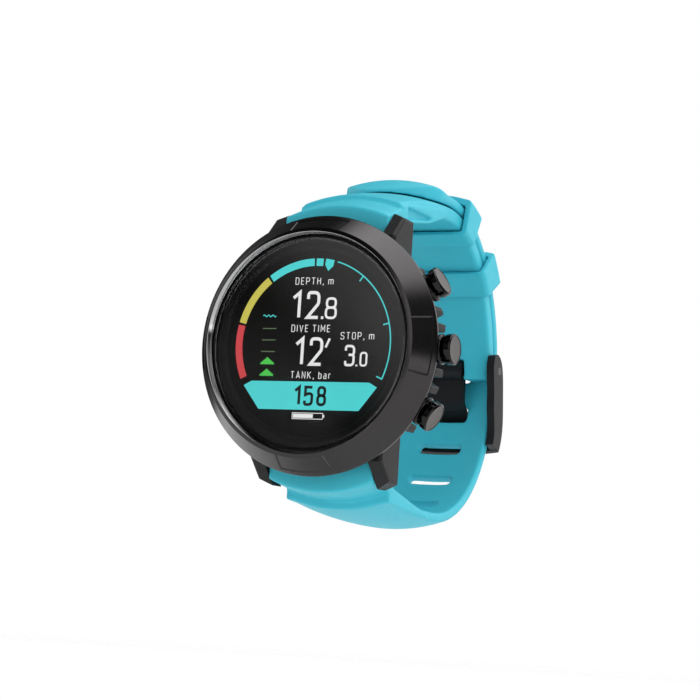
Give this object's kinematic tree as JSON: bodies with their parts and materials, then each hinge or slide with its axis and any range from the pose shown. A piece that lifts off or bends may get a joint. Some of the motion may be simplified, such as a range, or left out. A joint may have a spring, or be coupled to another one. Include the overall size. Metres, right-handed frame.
{
  "type": "wrist dive computer",
  "caption": "Round wrist dive computer with a raised steel bezel, side push buttons and a buckled silicone strap closed in a loop.",
  "frame": {"origin": "centre of the flat outer face of the case back", "axes": "+X to 3 o'clock, the button side; +Z to 12 o'clock; +Y out of the case back, into the wrist, so the dial faces -Y"},
  "size_m": [0.0563, 0.0782, 0.0758],
  "materials": {
    "case_polymer": "satin",
    "black_steel": "brushed black coating",
    "sapphire": "polished",
    "seal_rubber": "matt",
    "back_plate": "matt",
    "screw_steel": "plain",
    "gold_contact": "plated",
    "inner_plastic": "matt",
    "display_black": "gloss",
    "backlight_sheet": "matt",
    "ribbon_film": "film",
    "circuit_board": "solder mask",
    "chip_black": "matt",
    "battery_foil": "foil",
    "brass_disc": "plain",
    "strap_silicone": "silky",
    "buckle_black": "satin coating",
    "button_steel": "turned, coated",
    "spring_steel": "drawn wire"
  },
  "bodies": {
    "watch": {"case_body": "case_polymer", "bezel": "black_steel", "lens": "sapphire", "lens_gasket": "seal_rubber", "case_back": "back_plate", "case_back_gasket": "seal_rubber", "case_back_screws": "screw_steel", "charging_contacts": "gold_contact", "contact_insulator": "inner_plastic", "display_panel": "display_black", "backlight": "backlight_sheet", "display_frame": "inner_plastic", "display_ribbon": "ribbon_film", "main_board": "circuit_board", "main_board_chips": "chip_black", "battery": "battery_foil", "vibration_motor": "screw_steel", "beeper": "brass_disc", "pressure_sensor": "screw_steel", "sensor_seal": "seal_rubber", "upper_strap": "strap_silicone", "lower_strap": "strap_silicone", "top_button_sleeve": "screw_steel", "top_button_spring": "spring_steel", "top_button_switch": "inner_plastic", "middle_button_sleeve": "screw_steel", "middle_button_spring": "spring_steel", "middle_button_switch": "inner_plastic", "bottom_button_sleeve": "screw_steel", "bottom_button_spring": "spring_steel", "bottom_button_switch": "inner_plastic", "upper_bar_tube": "screw_steel", "upper_bar_fixed_pin": "screw_steel", "upper_bar_spring": "spring_steel", "lower_bar_tube": "screw_steel", "lower_bar_fixed_pin": "screw_steel", "lower_bar_spring": "spring_steel"},
    "top_button": {"top_button": "button_steel", "top_button_seals": "seal_rubber", "top_button_clip": "screw_steel"},
    "middle_button": {"middle_button": "button_steel", "middle_button_seals": "seal_rubber", "middle_button_clip": "screw_steel"},
    "bottom_button": {"bottom_button": "button_steel", "bottom_button_seals": "seal_rubber", "bottom_button_clip": "screw_steel"},
    "upper_bar_release_pin": {"upper_bar_release_pin": "screw_steel"},
    "lower_bar_release_pin": {"lower_bar_release_pin": "screw_steel"},
    "tail_keeper": {"tail_keeper": "strap_silicone"},
    "buckle_keeper": {"buckle_keeper": "strap_silicone"},
    "buckle_frame": {"buckle_frame": "buckle_black", "buckle_pin": "black_steel"},
    "buckle_tongue": {"buckle_tongue": "buckle_black"}
  },
  "joints": [
    {"name": "top_button_press", "type": "slide", "parent": "watch", "child": "top_button", "axis": [-0.8746, 0, -0.4848], "range_m": [0, 0.001], "stiffness_N_per_m": 900, "springref_m": -0.0012, "deforming": ["top_button_spring"]},
    {"name": "middle_button_press", "type": "slide", "parent": "watch", "child": "middle_button", "axis": [-1, 0, 0], "range_m": [0, 0.001], "stiffness_N_per_m": 900, "springref_m": -0.0012, "deforming": ["middle_button_spring"]},
    {"name": "bottom_button_press", "type": "slide", "parent": "watch", "child": "bottom_button", "axis": [-0.8746, 0, 0.4848], "range_m": [0, 0.001], "stiffness_N_per_m": 900, "springref_m": -0.0012, "deforming": ["bottom_button_spring"]},
    {"name": "upper_strap_release", "type": "slide", "parent": "watch", "child": "upper_bar_release_pin", "axis": [-1, 0, 0], "range_m": [0, 0.0013], "stiffness_N_per_m": 500, "springref_m": -0.001, "deforming": ["upper_bar_spring"]},
    {"name": "lower_strap_release", "type": "slide", "parent": "watch", "child": "lower_bar_release_pin", "axis": [-1, 0, 0], "range_m": [0, 0.0013], "stiffness_N_per_m": 500, "springref_m": -0.001, "deforming": ["lower_bar_spring"]},
    {"name": "tail_keeper_slide", "type": "hinge", "parent": "watch", "child": "tail_keeper", "pos_m": [0, 0.0256, 0.00878], "axis": [1, 0, 0], "range_deg": [-12, 12]},
    {"name": "buckle_keeper_slide", "type": "hinge", "parent": "watch", "child": "buckle_keeper", "pos_m": [0, 0.0184, 0.001], "axis": [1, 0, 0], "range_deg": [-16, 4]},
    {"name": "buckle_play", "type": "hinge", "parent": "watch", "child": "buckle_frame", "pos_m": [0, 0.05396, 0.00262], "axis": [1, 0, 0], "range_deg": [0, 2.5]},
    {"name": "tongue_play", "type": "hinge", "parent": "watch", "child": "buckle_tongue", "pos_m": [0, 0.05396, 0.00262], "axis": [1, 0, 0], "range_deg": [0, 2.5]}
  ],
  "couplings": [
    {"joint": "tongue_play", "follows": "buckle_play", "ratio": 1}
  ]
}
